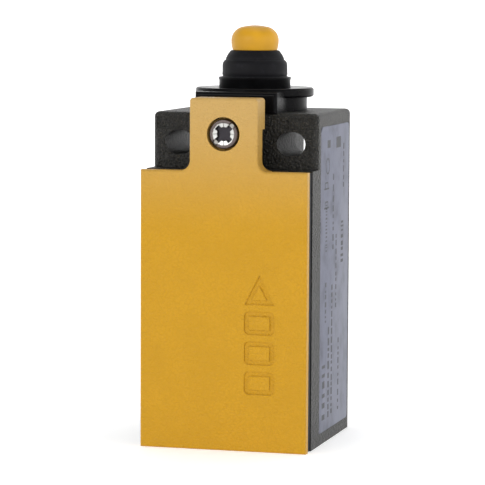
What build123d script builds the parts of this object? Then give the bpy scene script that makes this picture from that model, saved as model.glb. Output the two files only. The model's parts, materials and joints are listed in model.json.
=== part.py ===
"""Limit switch with a rounded plunger: die-cast case, screwed cover, bayonet head and contact block.

Millimetres. The origin is the middle of the case's underside. +Z points up along the plunger,
-Y is the cover side, +Y is the side that lies against the machine, and +X is right from the front.
"""
from build123d import *
import os

os.makedirs("parts", exist_ok=True)

# ---------------------------------------------------------------- case
body_width = 31.0
body_depth = 33.5
body_height = 60.5
side_wall = 2.3
back_wall = 2.5
floor_thickness = 2.5
corner_radius = 1.2
edge_radius = 0.9
assembly_gap = 0.04
thread_runout = 0.4

# ---------------------------------------------------------------- cover and its tongue
cover_depth = 3.5
cover_wall = 1.9
cover_edge_radius = 0.5
rebate_start = 1.8
rebate_depth = 0.6
gasket_thickness = 0.5
gasket_inset = 0.15
shoulder_drop = 10.1
tongue_width = 12.6
tongue_rise = 2.9
tongue_shoulder_radius = 1.8
tongue_corner_radius = 0.6
tongue_hook_reach = 1.6
tongue_hook_height = 5.6
tongue_gap = 0.1
boss_width = 10.6

# ---------------------------------------------------------------- mounting ears
ear_setback = 7.75
ear_thickness = 13.0
slot_pitch = 21.0
slot_drop = 5.5
slot_width = 4.3
slot_length = 5.3
ear_pocket_wall = 2.0
ear_pocket_inner_wall = 1.06
ear_pocket_floor = 1.8
ear_pocket_roof = 2.1
pad_width = 5.0
pad_height = 2.1
pad_drop = 1.9
pad_offset = 1.8
pad_relief = 0.25

# ---------------------------------------------------------------- cable entry
entry_radius = 9.25
entry_length = 8.0
entry_wall = 2.25

# ---------------------------------------------------------------- head, boot and plunger
plunger_setback = 12.3
cap_rise = 4.6
travel = 6.1
flange_radius = 10.95
flange_thickness = 1.7
flange_rise = 4.2
flange_edge_radius = 0.45
neck_radius = 9.7
block_width = 15.4
block_rise = 3.7
block_setback = 8.05
block_edge_radius = 0.6
head_seal_radius = 6.6
head_seal_width = 0.8
head_seal_height = 0.55
spigot_radius = 5.2
spigot_reach = 1.6
bush_wall = 0.9
bush_collar_radius = 4.7
bush_collar_thickness = 0.9
bush_length = 13.4
rod_radius = 2.5
running_clearance = 0.05
collar_wall = 0.5
collar_height = 4.1
boot_seat_depth = 2.2
boot_radius = 6.05
boot_wall = 0.8
boot_folded_height = 2.9
boot_shoulder_drop = 2.3
boot_cone_drop = 1.5
boot_cone_step = 0.65
boot_lip_width = 0.6
boot_top_rounding = 0.35
boot_skirt_clearance = 0.25
cap_wall = 1.1
cap_bead = 0.5
cap_swell = 0.3
cap_corner_radius = 2.5
cap_taper_height = 1.6
cap_skirt_drop = 1.45
rod_engagement = 3.0
clip_thickness = 0.8
clip_groove_depth = 0.5
clip_width = 1.6
rod_seal_section = 0.45
rod_seal_height = 0.9
rod_seal_drop = 1.5

# ---------------------------------------------------------------- contact block
block_side_gap = 0.4
block_top_gap = 0.5
block_relief_gap = 0.4
block_front_setback = 10.75
block_back_gap = 2.25
block_corner_radius = 0.6
carrier_bar = 1.6
carrier_collar_wall = 0.56
carrier_collar_height = 1.9
carrier_side_step = 0.1
carrier_depth_step = 0.1
carrier_top_drop = 0.1
channel_clearance = 0.25
channel_floor = 2.0
window_depth = 3.4
lost_motion = 3.0
lost_motion_margin = 0.1
contact_spring_length = 2.7
spring_seat_margin = 0.4
bridge_length = 16.0
bridge_depth = 3.0
bridge_thickness = 0.8
tip_radius = 1.2
tip_height = 0.5
tip_offset = 6.6
strip_thickness = 0.8
strip_inner = 5.3
strip_outer = 11.2
chamber_margin = 0.15
chamber_depth_margin = 0.7
chamber_drop_margin = 0.3
terminal_height = 6.2
wire_gap = 1.0
clamp_thickness = 0.9
clamp_height = 5.2
terminal_screw_radius = 1.5
terminal_screw_length = 7.0
terminal_head_radius = 2.5
terminal_head_height = 1.7
drive_slot_width = 0.8
drive_slot_depth = 0.7
block_screw_radius = 1.25
block_screw_bite = 2.6
block_head_radius = 2.1
block_head_height = 1.5
block_screw_offset = 9.5
block_screw_top_drop = 2.4
block_screw_bottom_rise = 4.6

# ---------------------------------------------------------------- springs
return_wire = 0.5
return_coil_radius = 2.3
return_turns = 6
contact_wire = 0.3
contact_coil_radius = 1.25
contact_turns = 3
spring_end_gap = 0.05

# ---------------------------------------------------------------- cover screw
cover_screw_drop = 3.5
cover_screw_radius = 1.5
cover_screw_length = 10.5
cover_screw_passage = 0.2
cover_head_radius = 2.65
cover_head_height = 1.5
cover_head_edge_radius = 0.3
cover_well_radius = 3.05
cover_well_depth = 2.1
cover_seal_thickness = 0.4
cross_width = 0.75
cross_length = 3.4
cross_depth = 0.9
cross_angle = 45

# ---------------------------------------------------------------- earth terminal
earth_offset = 9.9
earth_rise = 11.2
earth_post_radius = 2.8
earth_post_length = 11.0
earth_screw_length = 7.5
earth_clamp_size = 5.0

# ---------------------------------------------------------------- label and moulded mark
label_front_setback = 10.1
label_back_setback = 31.7
label_bottom = 2.1
label_top = 58.0
label_thickness = 0.15
label_chamfer = 1.2
mark_offset = 6.85
mark_width = 5.6
mark_depth = 0.25
mark_stroke = 0.9
mark_cell_height = 4.2
mark_cell_pitch = 5.4
mark_cell_count = 3
mark_bottom = 10.4
mark_arrow_height = 5.4

# ---------------------------------------------------------------- places worked out from the sizes
half_width = body_width / 2
front = -body_depth / 2
back = body_depth / 2
rim_y = front + cover_depth
case_front = rim_y + gasket_thickness
ear_y = front + ear_setback
ear_back_y = ear_y + ear_thickness
cavity_back = back - back_wall
cavity_half_width = half_width - side_wall
shoulder_z = body_height - shoulder_drop
cavity_top = shoulder_z - side_wall
plunger_y = back - plunger_setback
ear_pocket_inner = spigot_radius + assembly_gap + ear_pocket_inner_wall
slot_z = body_height - slot_drop
slot_offset = slot_pitch / 2
tongue_top = body_height + tongue_rise
hook_y = rim_y + tongue_hook_reach
rebate_y = (front + rebate_start, rim_y)
rebate_inner = half_width - rebate_depth
shoulder_inner = tongue_width / 2 + tongue_shoulder_radius
hook_bottom = tongue_top - tongue_hook_height
cover_screw_z = body_height - cover_screw_drop
cover_head_seat = front + cover_well_depth - cover_seal_thickness
cover_screw_tip = cover_head_seat + cover_screw_length

flange_top = body_height + flange_rise
flange_bottom = flange_top - flange_thickness
boot_bottom = flange_top - boot_seat_depth
boot_height = travel + boot_folded_height
boot_top = boot_bottom + boot_height
cap_groove_radius = rod_radius + cap_wall
cap_waist_radius = cap_groove_radius + cap_bead
cap_radius = cap_waist_radius + cap_swell
boot_cone_radius = boot_radius - boot_cone_step
boot_top_radius = cap_waist_radius + boot_lip_width
collar_inner = boot_radius + 3 * running_clearance
collar_outer = collar_inner + collar_wall
spigot_bottom = cavity_top - spigot_reach
bush_bore = rod_radius + running_clearance
bush_radius = bush_bore + bush_wall
bush_top = boot_bottom + bush_collar_thickness
rod_seal_top = bush_top - rod_seal_drop
plunger_top = boot_top + cap_rise
cap_bottom = boot_top - cap_skirt_drop
rod_top = cap_bottom + rod_engagement
clip_inner = spigot_radius - clip_groove_depth

block_front = front + block_front_setback
block_back = cavity_back - block_back_gap
block_half_width = cavity_half_width - block_side_gap
block_top = spigot_bottom - block_top_gap
carrier_collar_radius = rod_radius + assembly_gap + carrier_collar_wall
carrier_width = 2 * (carrier_collar_radius - carrier_side_step)
carrier_depth = 2 * (carrier_collar_radius + carrier_depth_step)
window_height = lost_motion + lost_motion_margin + bridge_thickness + contact_spring_length
carrier_length = 2 * window_height + 3 * carrier_bar
carrier_top = block_top - carrier_collar_height - carrier_top_drop
carrier_bottom = carrier_top - carrier_length
channel_bottom = carrier_bottom - travel - return_turns * return_wire - spring_seat_margin
block_bottom = channel_bottom - channel_floor
window_bottoms = {
    "lower": carrier_bottom + carrier_bar,
    "upper": carrier_bottom + 2 * carrier_bar + window_height,
}
bridge_travel = travel - lost_motion
tab_front = block_front - strip_thickness
clamp_back = tab_front - wire_gap
terminal_offset = (strip_inner + strip_outer) / 2
clamp_width = strip_outer - strip_inner
block_screw_places = (
    (-block_screw_offset, block_top - block_screw_top_drop),
    (block_screw_offset, block_bottom + block_screw_bottom_rise),
)
block_head_seat = block_front + block_head_height + assembly_gap
block_screw_tip = block_back + block_screw_bite
earth_place = (-earth_offset, earth_rise)
earth_post_front = cavity_back - earth_post_length
earth_clamp_back = earth_post_front - wire_gap
earth_head_seat = earth_clamp_back - clamp_thickness
sides = {"left": -1, "right": 1}
plunger_axis = Axis((0, plunger_y, 0), (0, 0, 1))


def facing_front(y):
    """Plane parallel to the cover at depth y: its X is the switch's X and its Y is up."""
    return Plane(origin=(0, y, 0), x_dir=(1, 0, 0), z_dir=(0, -1, 0))


def level(z):
    """Horizontal plane at height z, centred on the plunger's axis."""
    return Plane(origin=(0, plunger_y, z), x_dir=(1, 0, 0), z_dir=(0, 0, 1))


def box_between(x, y, z, mode=Mode.ADD):
    """Add or cut a box given by its low and high limits on each axis."""
    with Locations(((x[0] + x[1]) / 2, (y[0] + y[1]) / 2, (z[0] + z[1]) / 2)):
        Box(x[1] - x[0], y[1] - y[0], z[1] - z[0], mode=mode)


def ring(z, inner, outer, height, mode=Mode.ADD):
    """Add or cut a ring around the plunger's axis that stands on height z."""
    with BuildSketch(level(z)) as outline:
        Circle(outer)
        if inner > 0:
            Circle(inner, mode=Mode.SUBTRACT)
    extrude(outline.sketch, amount=height, mode=mode)


def rod_to_back(places, radius, y_start, y_end, mode=Mode.ADD):
    """Add or cut round rods that run from y_start back to y_end at the given (x, z) places."""
    with BuildSketch(facing_front(y_start)) as outline:
        with Locations(*places):
            Circle(radius)
    extrude(outline.sketch, amount=y_start - y_end, mode=mode)


def slotted_screws(places, head_seat, head_radius, head_height, shank_radius, length):
    """Add slotted screws whose heads' undersides lie at head_seat."""
    rod_to_back(places, head_radius, head_seat - head_height, head_seat)
    rod_to_back(places, shank_radius, head_seat, head_seat + length)
    with BuildSketch(facing_front(head_seat - head_height)) as slots:
        with Locations(*places):
            Rectangle(2 * head_radius, drive_slot_width)
    extrude(slots.sketch, amount=-drive_slot_depth, mode=Mode.SUBTRACT)


def bridge_top(window_bottom):
    """Height of a bridge's upper face at rest, the lost motion below its window's top."""
    return window_bottom + window_height - lost_motion - lost_motion_margin


def strip_bottom(window_bottom):
    """Height of a fixed contact's underside, above its own tip and the bridge's tip."""
    return bridge_top(window_bottom) + 2 * tip_height


def terminal_z(window_bottom):
    """Height of the middle of a fixed contact's terminal tab."""
    return strip_bottom(window_bottom) + strip_thickness - terminal_height / 2


def x_limits(sign, inner, outer):
    """Low and high X of a stretch that lies between two offsets on one side."""
    return sorted((sign * inner, sign * outer))


# ---------------------------------------------------------------- case
with BuildPart() as housing:
    box_between((-half_width, half_width), (case_front, back), (0, shoulder_z))
    box_between((-half_width, half_width), (ear_y, back), (shoulder_z, body_height))
    upright = housing.edges().filter_by(Axis.Z)
    fillet(upright.group_by(Axis.Y)[-1] + upright.filter_by_position(Axis.Y, ear_y, ear_y), corner_radius)
    fillet(housing.faces().sort_by(Axis.Z)[-1].edges(), edge_radius)
    # hollow for the contact block and the wires, open to the cover
    box_between(
        (-cavity_half_width, cavity_half_width),
        (case_front, cavity_back),
        (floor_thickness, cavity_top),
        Mode.SUBTRACT,
    )
    # boss behind the cover's tongue, stepped for the tongue's hook
    boss_x = (-boss_width / 2, boss_width / 2)
    boss_step = hook_bottom - tongue_gap
    boss_root = ear_y + corner_radius
    box_between(boss_x, (rim_y + tongue_gap, boss_root), (shoulder_z, boss_step))
    box_between(boss_x, (hook_y + tongue_gap, boss_root), (boss_step, body_height))
    # cable entry, with a boss for its thread
    ring(0, 0, entry_radius + entry_wall, entry_length)
    ring(0, 0, entry_radius, entry_length, Mode.SUBTRACT)
    # bosses and threads for the two block screws
    rod_to_back(block_screw_places, 2 * block_screw_radius, block_back, cavity_back)
    rod_to_back(
        block_screw_places,
        block_screw_radius + assembly_gap,
        block_back,
        block_screw_tip + assembly_gap,
        Mode.SUBTRACT,
    )
    # post of the earth terminal
    rod_to_back([earth_place], earth_post_radius, earth_post_front, cavity_back)
    rod_to_back(
        [earth_place],
        terminal_screw_radius + assembly_gap,
        earth_post_front,
        earth_head_seat + earth_screw_length + thread_runout,
        Mode.SUBTRACT,
    )
    # bore for the head's spigot
    ring(cavity_top, 0, spigot_radius + assembly_gap, body_height - cavity_top, Mode.SUBTRACT)
    # slotted mounting holes, each with a pocket that is open to the back
    with BuildSketch(facing_front(ear_y)):
        with Locations((-slot_offset, slot_z), (slot_offset, slot_z)):
            SlotOverall(slot_length, slot_width)
    extrude(amount=-ear_thickness, mode=Mode.SUBTRACT)
    for sign in sides.values():
        box_between(
            x_limits(sign, ear_pocket_inner, half_width - ear_pocket_wall),
            (ear_back_y, back),
            (cavity_top + ear_pocket_floor, body_height - ear_pocket_roof),
            Mode.SUBTRACT,
        )
    # plain fields above the slots
    with BuildSketch(facing_front(ear_y)):
        with Locations(
            (-slot_offset - pad_offset, body_height - pad_drop),
            (slot_offset + pad_offset, body_height - pad_drop),
        ):
            Rectangle(pad_width, pad_height)
    extrude(amount=-pad_relief, mode=Mode.SUBTRACT)
    # thread for the cover screw
    rod_to_back(
        [(0, cover_screw_z)],
        cover_screw_radius + assembly_gap,
        rim_y,
        cover_screw_tip + thread_runout,
        Mode.SUBTRACT,
    )
    # shallow field for the label
    box_between(
        (half_width - label_thickness, half_width),
        (front + label_front_setback - assembly_gap, front + label_back_setback + assembly_gap),
        (label_bottom - assembly_gap, label_top + assembly_gap),
        Mode.SUBTRACT,
    )
housing.part.label = "housing"
export_step(housing.part, "parts/housing.step")

# ---------------------------------------------------------------- cover
with BuildPart() as front_cover:
    with BuildSketch(facing_front(rim_y)) as cover_outline:
        with Locations((0, shoulder_z / 2)):
            Rectangle(body_width, shoulder_z)
        with Locations((0, tongue_top / 2)):
            Rectangle(tongue_width, tongue_top)
        corners = cover_outline.vertices()
        at_shoulder = corners.filter_by_position(Axis.Y, shoulder_z, shoulder_z)
        at_tongue = at_shoulder.filter_by_position(Axis.X, -tongue_width / 2, tongue_width / 2)
        fillet(at_tongue, tongue_shoulder_radius)
        fillet(cover_outline.vertices().group_by(Axis.Y)[-1], tongue_corner_radius)
    extrude(amount=cover_depth)
    fillet(front_cover.faces().sort_by(Axis.Y)[0].edges(), cover_edge_radius)
    # hook at the top of the tongue
    with BuildSketch(facing_front(hook_y)) as hook_outline:
        with Locations((0, tongue_top - tongue_hook_height / 2)):
            Rectangle(tongue_width, tongue_hook_height)
        fillet(hook_outline.vertices().group_by(Axis.Y)[-1], tongue_corner_radius)
    extrude(amount=tongue_hook_reach)
    # rebate for the lip of the gasket: both sides, the foot and the two shoulders
    for sign in sides.values():
        box_between(x_limits(sign, rebate_inner, half_width), rebate_y, (0, shoulder_z), Mode.SUBTRACT)
        box_between(
            x_limits(sign, shoulder_inner, half_width),
            rebate_y,
            (shoulder_z - rebate_depth, shoulder_z),
            Mode.SUBTRACT,
        )
    box_between((-half_width, half_width), rebate_y, (0, rebate_depth), Mode.SUBTRACT)
    # hollow behind the panel
    box_between(
        (cover_wall - half_width, half_width - cover_wall),
        (front + cover_wall, rim_y),
        (cover_wall, shoulder_z - cover_wall),
        Mode.SUBTRACT,
    )
    # well and passage for the screw
    rod_to_back([(0, cover_screw_z)], cover_well_radius, front, front + cover_well_depth, Mode.SUBTRACT)
    rod_to_back([(0, cover_screw_z)], cover_screw_radius + cover_screw_passage, front, hook_y, Mode.SUBTRACT)
    # plain moulded mark: outlined cells below an outlined arrow that points to the plunger
    arrow_bottom = mark_bottom + mark_cell_count * mark_cell_pitch
    arrow_places = (
        (mark_offset - mark_width / 2, arrow_bottom),
        (mark_offset + mark_width / 2, arrow_bottom),
        (mark_offset, arrow_bottom + mark_arrow_height),
    )
    with BuildSketch(facing_front(front)):
        with BuildLine():
            Polyline(*arrow_places, close=True)
        make_face()
        offset(amount=-mark_stroke, mode=Mode.SUBTRACT)
    extrude(amount=-mark_depth, mode=Mode.SUBTRACT)
    with BuildSketch(facing_front(front)):
        for index in range(mark_cell_count):
            cell_middle = mark_bottom + mark_cell_height / 2 + index * mark_cell_pitch
            with Locations((mark_offset, cell_middle)):
                RectangleRounded(mark_width, mark_cell_height, mark_stroke)
                hole_width = mark_width - 2 * mark_stroke
                hole_height = mark_cell_height - 2 * mark_stroke
                Rectangle(hole_width, hole_height, mode=Mode.SUBTRACT)
    extrude(amount=-mark_depth, mode=Mode.SUBTRACT)
front_cover.part.label = "front_cover"
export_step(front_cover.part, "parts/front_cover.step")

with BuildPart() as cover_gasket:
    box_between(
        (gasket_inset - half_width, half_width - gasket_inset),
        (front + rebate_start, case_front),
        (gasket_inset, shoulder_z - gasket_inset),
    )
    # room for the rim of the cover inside the lip
    lip_under_z = shoulder_z - rebate_depth
    box_between((-rebate_inner, rebate_inner), rebate_y, (rebate_depth, lip_under_z), Mode.SUBTRACT)
    box_between((-shoulder_inner, shoulder_inner), rebate_y, (lip_under_z, shoulder_z), Mode.SUBTRACT)
    box_between(
        (-cavity_half_width, cavity_half_width),
        (rim_y, case_front),
        (floor_thickness, cavity_top),
        Mode.SUBTRACT,
    )
cover_gasket.part.label = "cover_gasket"
export_step(cover_gasket.part, "parts/cover_gasket.step")

with BuildPart() as cover_screw:
    screw_place = [(0, cover_screw_z)]
    rod_to_back(screw_place, cover_head_radius, cover_head_seat - cover_head_height, cover_head_seat)
    fillet(cover_screw.faces().sort_by(Axis.Y)[0].edges(), cover_head_edge_radius)
    rod_to_back(screw_place, cover_screw_radius, cover_head_seat, cover_screw_tip)
    with BuildSketch(facing_front(cover_head_seat - cover_head_height)):
        with Locations(Location((0, cover_screw_z), cross_angle)):
            Rectangle(2 * cover_head_radius, cross_width)
            Rectangle(cross_width, cross_length)
    extrude(amount=-cross_depth, mode=Mode.SUBTRACT)
cover_screw.part.label = "cover_screw"
export_step(cover_screw.part, "parts/cover_screw.step")

with BuildPart() as cover_screw_seal:
    rod_to_back(screw_place, cover_head_radius, cover_head_seat, cover_head_seat + cover_seal_thickness)
    rod_to_back(
        screw_place,
        cover_screw_radius + assembly_gap,
        cover_head_seat,
        cover_head_seat + cover_seal_thickness,
        Mode.SUBTRACT,
    )
cover_screw_seal.part.label = "cover_screw_seal"
export_step(cover_screw_seal.part, "parts/cover_screw_seal.step")

# ---------------------------------------------------------------- head and what it holds
with BuildPart() as bayonet_head:
    ring(flange_bottom, 0, flange_radius, flange_thickness)
    fillet(bayonet_head.edges().filter_by(GeomType.CIRCLE), flange_edge_radius)
    ring(body_height, 0, neck_radius, flange_bottom - body_height)
    box_between(
        (-block_width / 2, block_width / 2),
        (front + block_setback, plunger_y),
        (body_height, body_height + block_rise),
    )
    front_edges = bayonet_head.faces().sort_by(Axis.Y)[0].edges()
    fillet(front_edges.filter_by(Axis.Z) + front_edges.sort_by(Axis.Z)[-1:], block_edge_radius)
    ring(spigot_bottom, 0, spigot_radius, body_height - spigot_bottom)
    # groove for the clip, seat for the boot, bore for the bush, groove for the seal
    ring(
        cavity_top - clip_thickness - assembly_gap,
        clip_inner,
        spigot_radius,
        clip_thickness + assembly_gap,
        Mode.SUBTRACT,
    )
    ring(boot_bottom, 0, collar_outer + assembly_gap, boot_seat_depth, Mode.SUBTRACT)
    ring(spigot_bottom, 0, bush_radius + assembly_gap, boot_bottom - spigot_bottom, Mode.SUBTRACT)
    ring(
        body_height,
        head_seal_radius - head_seal_width / 2,
        head_seal_radius + head_seal_width / 2,
        head_seal_height,
        Mode.SUBTRACT,
    )
bayonet_head.part.label = "bayonet_head"
export_step(bayonet_head.part, "parts/bayonet_head.step")

with BuildPart() as head_seal:
    ring(
        body_height,
        head_seal_radius - head_seal_width / 2 + assembly_gap,
        head_seal_radius + head_seal_width / 2 - assembly_gap,
        head_seal_height,
    )
head_seal.part.label = "head_seal"
export_step(head_seal.part, "parts/head_seal.step")

with BuildPart() as head_circlip:
    ring(cavity_top - clip_thickness, clip_inner + assembly_gap, clip_inner + clip_width, clip_thickness)
    box_between(
        (-clip_inner / 2, clip_inner / 2),
        (plunger_y - clip_inner - clip_width, plunger_y),
        (cavity_top - clip_thickness, cavity_top),
        Mode.SUBTRACT,
    )
head_circlip.part.label = "head_circlip"
export_step(head_circlip.part, "parts/head_circlip.step")

with BuildPart() as guide_bush:
    ring(bush_top - bush_length, bush_bore, bush_radius, bush_length)
    ring(boot_bottom, bush_bore, bush_collar_radius, bush_collar_thickness)
    ring(
        rod_seal_top - rod_seal_height,
        bush_bore,
        bush_bore + rod_seal_section,
        rod_seal_height,
        Mode.SUBTRACT,
    )
guide_bush.part.label = "guide_bush"
export_step(guide_bush.part, "parts/guide_bush.step")

with BuildPart() as rod_seal:
    ring(
        rod_seal_top - rod_seal_height + assembly_gap,
        bush_bore,
        bush_bore + rod_seal_section - assembly_gap,
        rod_seal_height - 2 * assembly_gap,
    )
rod_seal.part.label = "rod_seal"
export_step(rod_seal.part, "parts/rod_seal.step")

with BuildPart() as boot_collar:
    ring(boot_bottom, collar_inner, collar_outer, collar_height)
    fillet(boot_collar.faces().sort_by(Axis.Z)[-1].edges().sort_by(Edge.length)[-1:], collar_wall / 2)
boot_collar.part.label = "boot_collar"
export_step(boot_collar.part, "parts/boot_collar.step")

with BuildPart() as boot:
    with BuildSketch(facing_front(plunger_y)) as boot_profile:
        lip_radius = cap_groove_radius + running_clearance
        with BuildLine():
            Polyline(
                (boot_radius - boot_wall, boot_bottom),
                (boot_radius, boot_bottom),
                (boot_radius, boot_top - boot_shoulder_drop),
                (boot_cone_radius, boot_top - boot_cone_drop),
                (boot_top_radius, boot_top),
                (lip_radius, boot_top),
                (lip_radius, boot_top - boot_wall),
                (cap_waist_radius + boot_skirt_clearance, boot_top - boot_wall),
                (boot_cone_radius - boot_wall, boot_top - boot_cone_drop),
                (boot_radius - boot_wall, boot_top - boot_shoulder_drop - boot_wall / 2),
                close=True,
            )
        make_face()
        outer_top = boot_profile.vertices().group_by(Axis.Y)[-1].sort_by(Axis.X)[-1]
        fillet(outer_top, boot_top_rounding)
    revolve(axis=plunger_axis)
boot.part.label = "boot"
export_step(boot.part, "parts/boot.step")

with BuildPart() as plunger_cap:
    with BuildSketch(facing_front(plunger_y)) as cap_profile:
        with BuildLine():
            Polyline(
                (0, cap_bottom),
                (cap_waist_radius, cap_bottom),
                (cap_waist_radius, boot_top - boot_wall - running_clearance),
                (cap_groove_radius, boot_top - boot_wall - running_clearance),
                (cap_groove_radius, boot_top + running_clearance),
                (cap_waist_radius, boot_top + running_clearance),
                (cap_radius, boot_top + cap_taper_height),
                (cap_radius, plunger_top),
                (0, plunger_top),
                close=True,
            )
        make_face()
        fillet(cap_profile.vertices().group_by(Axis.Y)[-1].sort_by(Axis.X)[-1], cap_corner_radius)
    revolve(axis=plunger_axis)
    ring(cap_bottom, 0, rod_radius + assembly_gap, rod_engagement, Mode.SUBTRACT)
plunger_cap.part.label = "plunger_cap"
export_step(plunger_cap.part, "parts/plunger_cap.step")

with BuildPart() as plunger_rod:
    ring(carrier_top, 0, rod_radius, rod_top - carrier_top)
plunger_rod.part.label = "plunger_rod"
export_step(plunger_rod.part, "parts/plunger_rod.step")

# ---------------------------------------------------------------- contact block
with BuildPart() as contact_block:
    box_between((-block_half_width, block_half_width), (block_front, block_back), (block_bottom, block_top))
    fillet(contact_block.edges().filter_by(Axis.Z), block_corner_radius)
    # channel for the carrier, open at the top
    channel_x = carrier_width / 2 + channel_clearance
    channel_y = carrier_depth / 2 + channel_clearance
    box_between(
        (-channel_x, channel_x),
        (plunger_y - channel_y, plunger_y + channel_y),
        (channel_bottom, block_top),
        Mode.SUBTRACT,
    )
    # one chamber per contact, open to the front
    for window_bottom in window_bottoms.values():
        swept_bottom = bridge_top(window_bottom) - bridge_thickness - bridge_travel
        for sign in sides.values():
            box_between(
                x_limits(sign, channel_x - channel_clearance, strip_outer + chamber_margin),
                (block_front, plunger_y + bridge_depth / 2 + chamber_depth_margin),
                (swept_bottom - chamber_drop_margin, strip_bottom(window_bottom) + strip_thickness),
                Mode.SUBTRACT,
            )
    # relief that keeps the block clear of the earth terminal
    relief_reach = earth_post_radius + block_relief_gap
    box_between(
        (-earth_offset - relief_reach, -earth_offset + relief_reach),
        (block_front, block_back),
        (floor_thickness, earth_rise + relief_reach),
        Mode.SUBTRACT,
    )
    # passages for the block screws
    for radius, depth_y in ((block_head_radius, block_head_seat), (block_screw_radius, block_back)):
        rod_to_back(block_screw_places, radius + assembly_gap, block_front, depth_y, Mode.SUBTRACT)
contact_block.part.label = "contact_block"
export_step(contact_block.part, "parts/contact_block.step")

with BuildPart() as block_screws:
    slotted_screws(
        block_screw_places,
        block_head_seat,
        block_head_radius,
        block_head_height,
        block_screw_radius,
        block_screw_tip - block_head_seat,
    )
block_screws.part.label = "block_screws"
export_step(block_screws.part, "parts/block_screws.step")

with BuildPart() as contact_carrier:
    box_between(
        (-carrier_width / 2, carrier_width / 2),
        (plunger_y - carrier_depth / 2, plunger_y + carrier_depth / 2),
        (carrier_bottom, carrier_top),
    )
    ring(carrier_top, rod_radius + assembly_gap, carrier_collar_radius, carrier_collar_height)
    for window_bottom in window_bottoms.values():
        box_between(
            (-carrier_width / 2, carrier_width / 2),
            (plunger_y - window_depth / 2, plunger_y + window_depth / 2),
            (window_bottom, window_bottom + window_height),
            Mode.SUBTRACT,
        )
contact_carrier.part.label = "contact_carrier"
export_step(contact_carrier.part, "parts/contact_carrier.step")

for level_name, window_bottom in window_bottoms.items():
    with BuildPart() as bridge:
        box_between(
            (-bridge_length / 2, bridge_length / 2),
            (plunger_y - bridge_depth / 2, plunger_y + bridge_depth / 2),
            (bridge_top(window_bottom) - bridge_thickness, bridge_top(window_bottom)),
        )
    bridge.part.label = f"bridge_{level_name}"
    export_step(bridge.part, f"parts/bridge_{level_name}.step")

with BuildPart() as moving_tips:
    for window_bottom in window_bottoms.values():
        with BuildSketch(level(bridge_top(window_bottom))):
            with Locations((-tip_offset, 0), (tip_offset, 0)):
                Circle(tip_radius)
        extrude(amount=tip_height)
moving_tips.part.label = "moving_tips"
export_step(moving_tips.part, "parts/moving_tips.step")

with BuildPart() as fixed_tips:
    for window_bottom in window_bottoms.values():
        with BuildSketch(level(strip_bottom(window_bottom) - tip_height)):
            with Locations((-tip_offset, 0), (tip_offset, 0)):
                Circle(tip_radius)
        extrude(amount=tip_height)
fixed_tips.part.label = "fixed_tips"
export_step(fixed_tips.part, "parts/fixed_tips.step")

for level_name, window_bottom in window_bottoms.items():
    strip_top = strip_bottom(window_bottom) + strip_thickness
    for side_name, sign in sides.items():
        with BuildPart() as fixed_contact:
            strip_x = x_limits(sign, strip_inner, strip_outer)
            box_between(
                strip_x,
                (tab_front, plunger_y + bridge_depth / 2),
                (strip_bottom(window_bottom), strip_top),
            )
            box_between(strip_x, (tab_front, block_front), (strip_top - terminal_height, strip_top))
            rod_to_back(
                [(sign * terminal_offset, terminal_z(window_bottom))],
                terminal_screw_radius + assembly_gap,
                tab_front,
                block_front,
                Mode.SUBTRACT,
            )
        fixed_contact.part.label = f"fixed_contact_{level_name}_{side_name}"
        export_step(fixed_contact.part, f"parts/fixed_contact_{level_name}_{side_name}.step")

terminal_places = [
    (sign * terminal_offset, terminal_z(window_bottom))
    for window_bottom in window_bottoms.values()
    for sign in sides.values()
]

with BuildPart() as terminal_clamps:
    with BuildSketch(facing_front(clamp_back)):
        with Locations(*terminal_places):
            Rectangle(clamp_width, clamp_height)
            Circle(terminal_screw_radius + 2 * assembly_gap, mode=Mode.SUBTRACT)
    extrude(amount=clamp_thickness)
terminal_clamps.part.label = "terminal_clamps"
export_step(terminal_clamps.part, "parts/terminal_clamps.step")

with BuildPart() as terminal_screws:
    slotted_screws(
        terminal_places,
        clamp_back - clamp_thickness,
        terminal_head_radius,
        terminal_head_height,
        terminal_screw_radius,
        terminal_screw_length,
    )
terminal_screws.part.label = "terminal_screws"
export_step(terminal_screws.part, "parts/terminal_screws.step")

with BuildPart() as earth_clamp:
    with BuildSketch(facing_front(earth_clamp_back)):
        with Locations(earth_place):
            Rectangle(earth_clamp_size, earth_clamp_size)
            Circle(terminal_screw_radius + 2 * assembly_gap, mode=Mode.SUBTRACT)
    extrude(amount=clamp_thickness)
earth_clamp.part.label = "earth_clamp"
export_step(earth_clamp.part, "parts/earth_clamp.step")

with BuildPart() as earth_screw:
    slotted_screws(
        [earth_place],
        earth_head_seat,
        terminal_head_radius,
        terminal_head_height,
        terminal_screw_radius,
        earth_screw_length,
    )
earth_screw.part.label = "earth_screw"
export_step(earth_screw.part, "parts/earth_screw.step")


# ---------------------------------------------------------------- springs
def coil_spring(z_low, z_high, coil_radius, wire, turns):
    """Round-wire compression spring around the plunger's axis, free of both its seats."""
    height = z_high - z_low - wire - 2 * spring_end_gap
    with BuildPart() as spring:
        with BuildLine(level(z_low + spring_end_gap + wire / 2)) as wire_path:
            Helix(pitch=height / turns, height=height, radius=coil_radius)
        with BuildSketch(Plane(origin=wire_path.line @ 0, z_dir=wire_path.line % 0)):
            Circle(wire / 2)
        sweep(path=wire_path.line, is_frenet=True)
    return spring.part


return_spring = coil_spring(channel_bottom, carrier_bottom, return_coil_radius, return_wire, return_turns)
return_spring.label = "return_spring"
export_step(return_spring, "parts/return_spring.step")

for level_name, window_bottom in window_bottoms.items():
    contact_spring = coil_spring(
        window_bottom,
        bridge_top(window_bottom) - bridge_thickness,
        contact_coil_radius,
        contact_wire,
        contact_turns,
    )
    contact_spring.label = f"contact_spring_{level_name}"
    export_step(contact_spring, f"parts/contact_spring_{level_name}.step")

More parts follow.
